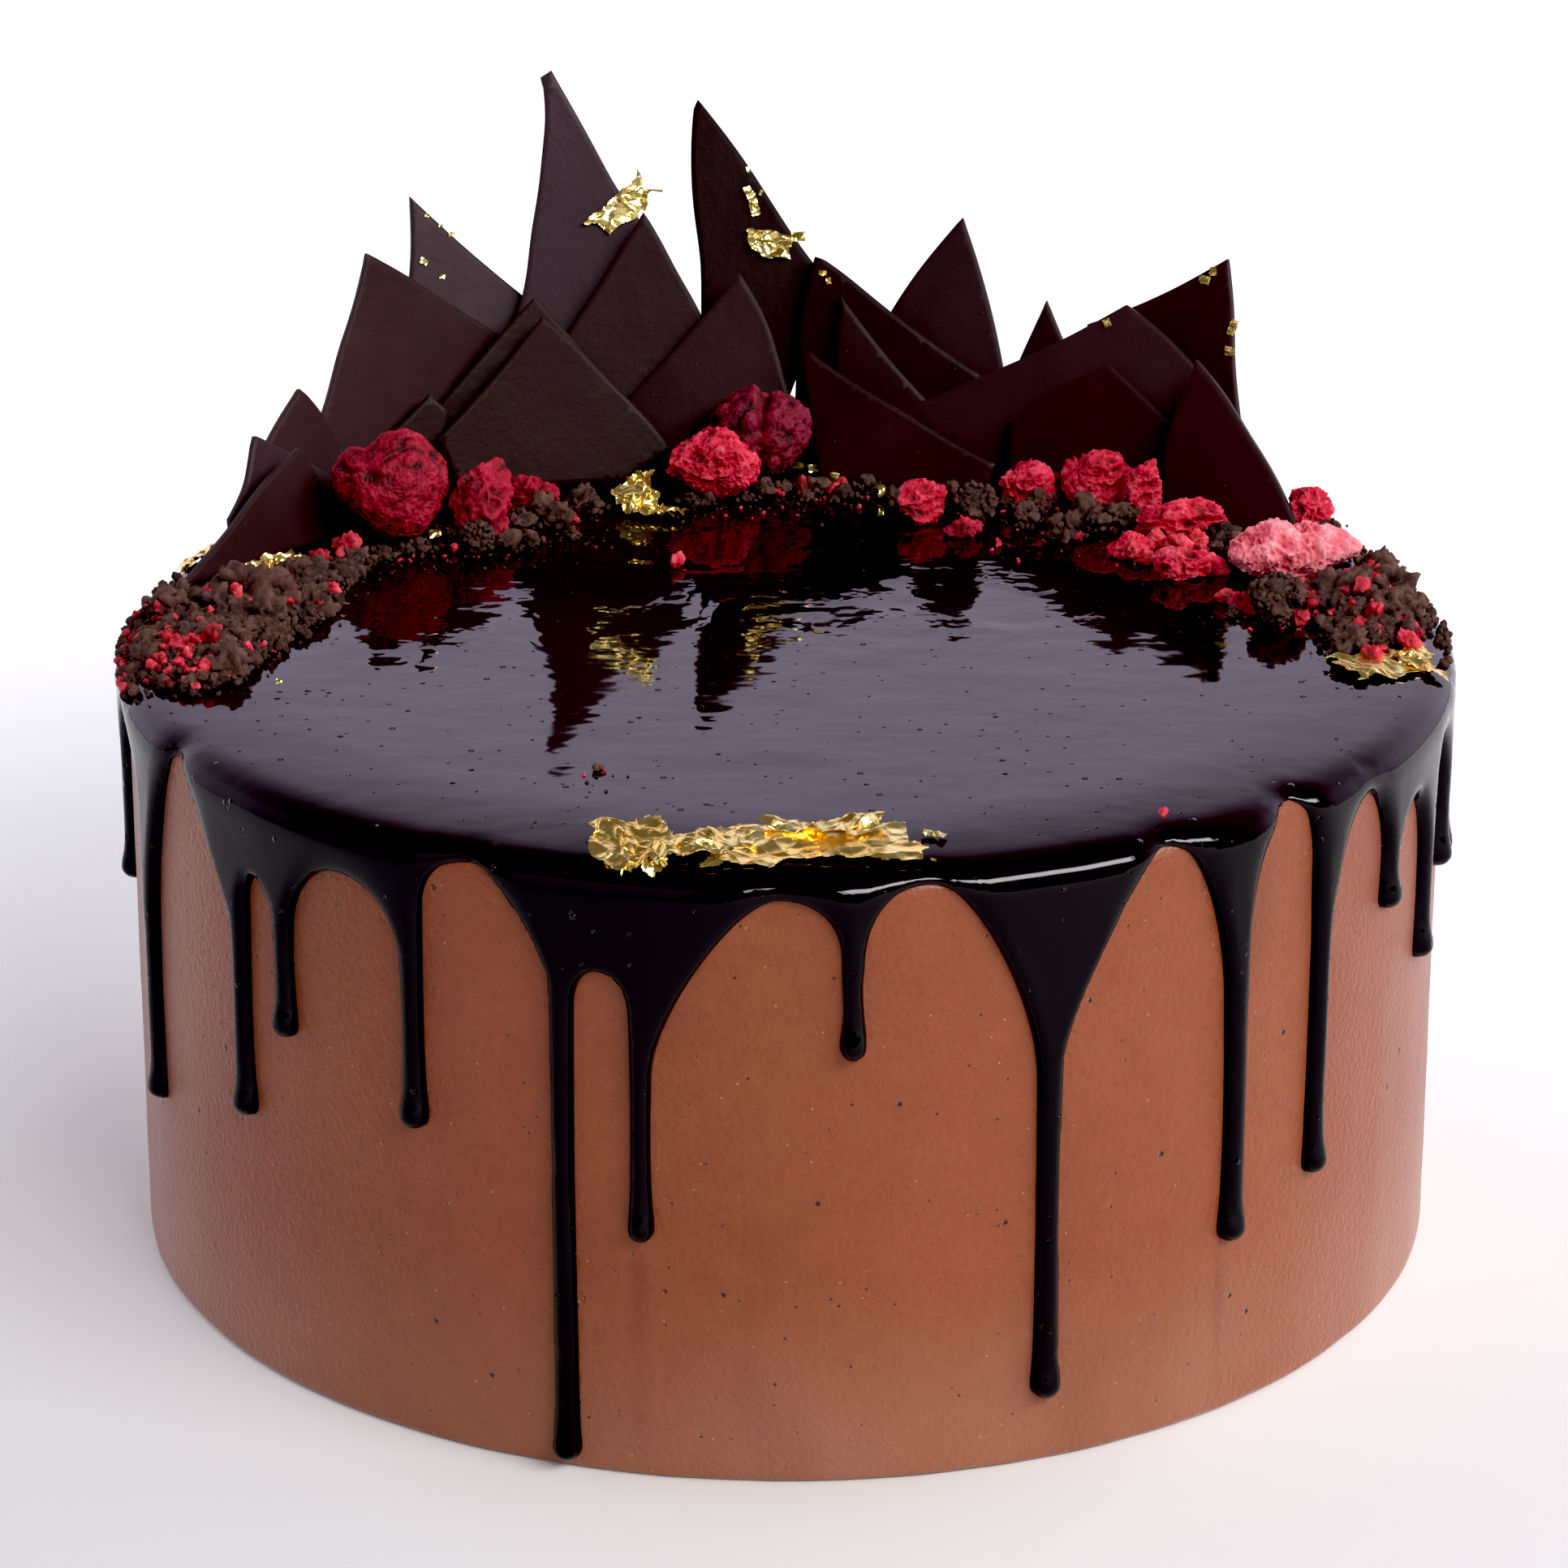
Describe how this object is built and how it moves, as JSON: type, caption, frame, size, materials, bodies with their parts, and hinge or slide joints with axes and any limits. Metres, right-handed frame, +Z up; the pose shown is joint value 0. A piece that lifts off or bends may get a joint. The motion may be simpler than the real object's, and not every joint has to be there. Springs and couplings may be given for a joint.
{
  "type": "salted caramel chocolate cake",
  "caption": "Tall round drip cake in caramel-brown buttercream with a dark mirror glaze, chocolate shards, dried red berries, crumb and gold leaf.",
  "frame": {"origin": "centre of the flat underside, where the cake rests", "axes": "+Z up; the front, with the long gold leaf and the longest drips, faces -Y; +X is to the viewer's right; the chocolate shards stand along the back rim"},
  "size_m": [0.2042, 0.2107, 0.1554],
  "materials": {
    "buttercream": "satin, fine leathery bump, caramel-brown buttercream",
    "mirror_glaze": "mirror gloss, near-black chocolate glaze",
    "dark_chocolate": "satin dark chocolate",
    "dried_berry": "dry, rough, crimson to pink",
    "chocolate_crumb": "dry, rough crumb",
    "gold_leaf": "crumpled bright gold leaf"
  },
  "bodies": {
    "root": {"berry_bright": "dried_berry", "berry_folded": "dried_berry", "berry_heart": "dried_berry", "berry_long_pink": "dried_berry", "berry_piece_1": "dried_berry", "berry_piece_10": "dried_berry", "berry_piece_11": "dried_berry", "berry_piece_2": "dried_berry", "berry_piece_3": "dried_berry", "berry_piece_4": "dried_berry", "berry_piece_5": "dried_berry", "berry_piece_6": "dried_berry", "berry_piece_7": "dried_berry", "berry_piece_8": "dried_berry", "berry_piece_9": "dried_berry", "cake_body": "buttercream", "crumb_cluster_far": "chocolate_crumb", "crumb_cluster_mid": "chocolate_crumb", "crumb_cluster_right": "chocolate_crumb", "crumb_heap_left": "chocolate_crumb", "crumb_heap_right": "chocolate_crumb", "ganache_glaze": "mirror_glaze", "gold_leaf_front": "gold_leaf", "gold_leaf_left": "gold_leaf", "gold_leaf_mid": "gold_leaf", "gold_leaf_right": "gold_leaf", "gold_leaf_rim": "gold_leaf", "gold_leaf_tall_left": "gold_leaf", "gold_leaf_tall_right": "gold_leaf", "shard_back_mid": "dark_chocolate", "shard_back_small": "dark_chocolate", "shard_front_big": "dark_chocolate", "shard_front_left": "dark_chocolate", "shard_front_mid": "dark_chocolate", "shard_left_back": "dark_chocolate", "shard_left_big": "dark_chocolate", "shard_left_low": "dark_chocolate", "shard_left_small": "dark_chocolate", "shard_left_tiny": "dark_chocolate", "shard_long_blade": "dark_chocolate", "shard_mid": "dark_chocolate", "shard_mid_left": "dark_chocolate", "shard_right_back": "dark_chocolate", "shard_right_front": "dark_chocolate", "shard_right_inner": "dark_chocolate", "shard_right_mid": "dark_chocolate", "shard_right_ridge": "dark_chocolate", "shard_sliver": "dark_chocolate", "shard_tall_left": "dark_chocolate", "shard_tall_right": "dark_chocolate"}
  },
  "joints": []
}
